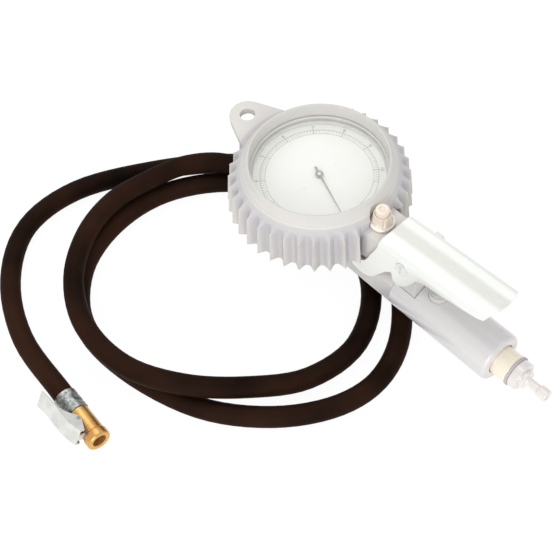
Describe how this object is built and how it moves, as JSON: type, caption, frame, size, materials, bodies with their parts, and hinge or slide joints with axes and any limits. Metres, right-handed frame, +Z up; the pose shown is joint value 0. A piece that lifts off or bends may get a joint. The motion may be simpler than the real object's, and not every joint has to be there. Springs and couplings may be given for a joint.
{
  "type": "tyre inflator with gauge",
  "caption": "Hand-held air line tyre inflator: dial gauge in a ribbed rubber boot, trigger lever over a straight handle, a hose in loose loops and a clip-on tyre connector.",
  "frame": {"origin": "centre of the air plug's thick nose, on the handle's axis", "axes": "+X along the handle's axis out through the air plug, +Z up out of the dial, +Y across the handle so that the loops of hose lie on the -Y side"},
  "size_m": [0.3058, 0.2434, 0.0756],
  "materials": {
    "boot_rubber": "moulded rubber, matt",
    "case_steel": "painted steel",
    "bezel_metal": "painted steel ring",
    "window_glass": "clear",
    "black_rubber": "matt",
    "dial_white": "satin white with printed scale",
    "small_steel": "plated",
    "needle_dark": "painted",
    "yellow_brass": "turned or pressed brass",
    "body_metal": "die cast, coated",
    "grip_plastic": "smooth",
    "lever_steel": "bright plated sheet",
    "bright_steel": "bright",
    "pale_brass": "turned",
    "plug_nickel": "nickel plated",
    "zinc": "zinc plated, crimped",
    "hose_rubber": "ribbed rubber, satin",
    "clip_steel": "plated sheet"
  },
  "bodies": {
    "tool": {"boot": "boot_rubber", "gauge_case": "case_steel", "bezel_ring": "bezel_metal", "window": "window_glass", "window_gasket": "black_rubber", "dial_plate": "dial_white", "dial_screws": "small_steel", "hairspring": "small_steel", "movement_plates": "yellow_brass", "movement_pillars": "yellow_brass", "bourdon_tube": "yellow_brass", "tube_tip": "yellow_brass", "gauge_socket": "yellow_brass", "stem_washer": "black_rubber", "valve_body": "body_metal", "grip": "grip_plastic", "pivot_screw": "bright_steel", "pivot_nut": "bright_steel", "valve_bush": "pale_brass", "valve_spring": "small_steel", "valve_plug": "pale_brass", "deflate_bush": "pale_brass", "deflate_spring": "small_steel", "inlet_adapter": "pale_brass", "inlet_washer": "black_rubber", "inlet_plug": "plug_nickel", "outlet_nipple": "yellow_brass", "outlet_ferrule": "zinc", "hose": "hose_rubber", "chuck_ferrule": "zinc", "chuck_body": "yellow_brass", "chuck_seal": "black_rubber", "chuck_depressor": "yellow_brass", "chuck_clip_pin": "small_steel", "chuck_clip_spring": "small_steel"},
    "lever": {"lever": "lever_steel"},
    "valve_pin": {"valve_pin": "bright_steel"},
    "deflate_button": {"deflate_button": "pale_brass"},
    "needle": {"needle": "needle_dark", "pinion_arbor": "yellow_brass"},
    "sector_gear": {"sector_gear": "yellow_brass"},
    "chuck_clip": {"chuck_clip": "clip_steel"}
  },
  "joints": [
    {"name": "lever_hinge", "type": "hinge", "parent": "tool", "child": "lever", "pos_m": [-0.09, 0, 0.0345], "axis": [0, 1, 0], "range_deg": [0, 7], "stiffness_Nm_per_rad": 0.8},
    {"name": "valve_pin_slide", "type": "slide", "parent": "tool", "child": "valve_pin", "axis": [0, 0, -1], "range_m": [0, 0.0022], "deforming": ["valve_spring"]},
    {"name": "deflate_press", "type": "slide", "parent": "tool", "child": "deflate_button", "axis": [0, 0, -1], "range_m": [0, 0.002], "stiffness_N_per_m": 800, "deforming": ["deflate_spring"]},
    {"name": "sector_turn", "type": "hinge", "parent": "tool", "child": "sector_gear", "pos_m": [-0.166, -0.0198, 0], "axis": [0, 0, 1], "range_deg": [0, 28.8]},
    {"name": "needle_turn", "type": "hinge", "parent": "tool", "child": "needle", "pos_m": [-0.166, 0, 0], "axis": [0, 0, -1], "range_deg": [0, 288]},
    {"name": "clip_hinge", "type": "hinge", "parent": "tool", "child": "chuck_clip", "pos_m": [-0.16551, -0.18267, -0.01667], "axis": [-0.0409, -0.4677, -0.8829], "range_deg": [0, 9], "stiffness_Nm_per_rad": 0.3}
  ],
  "couplings": [
    {"joint": "valve_pin_slide", "follows": "lever_hinge", "m_per_rad": 0.016},
    {"joint": "needle_turn", "follows": "sector_turn", "ratio": 10}
  ]
}
